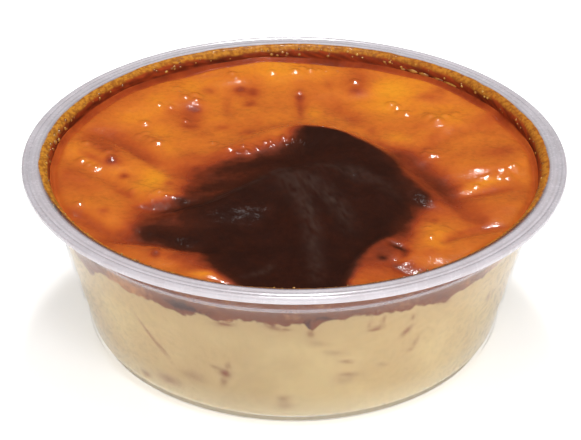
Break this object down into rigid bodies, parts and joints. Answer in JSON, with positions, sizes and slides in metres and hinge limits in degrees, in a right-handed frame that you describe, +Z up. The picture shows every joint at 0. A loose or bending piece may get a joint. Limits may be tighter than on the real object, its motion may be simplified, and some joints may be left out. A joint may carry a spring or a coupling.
{
  "type": "baked custard in a plastic tub",
  "caption": "Jericalla: set egg custard with a blistered, burnt skin, filling a shallow round clear plastic tub with a broad rim for a press-on lid.",
  "frame": {"origin": "centre of the tub's foot, on the surface it stands on", "axes": "+Z up along the tub's axis, -Y towards the eater, +X to their right"},
  "size_m": [0.117, 0.117, 0.0404],
  "materials": {
    "clear_plastic": "clear, slightly hazy, glossy moulded plastic",
    "burnt_custard": "moist, glossy caramelised skin from yellow-orange to near black, over matt cream custard"
  },
  "bodies": {
    "root": {"tub": "clear_plastic", "custard": "burnt_custard"}
  },
  "joints": []
}
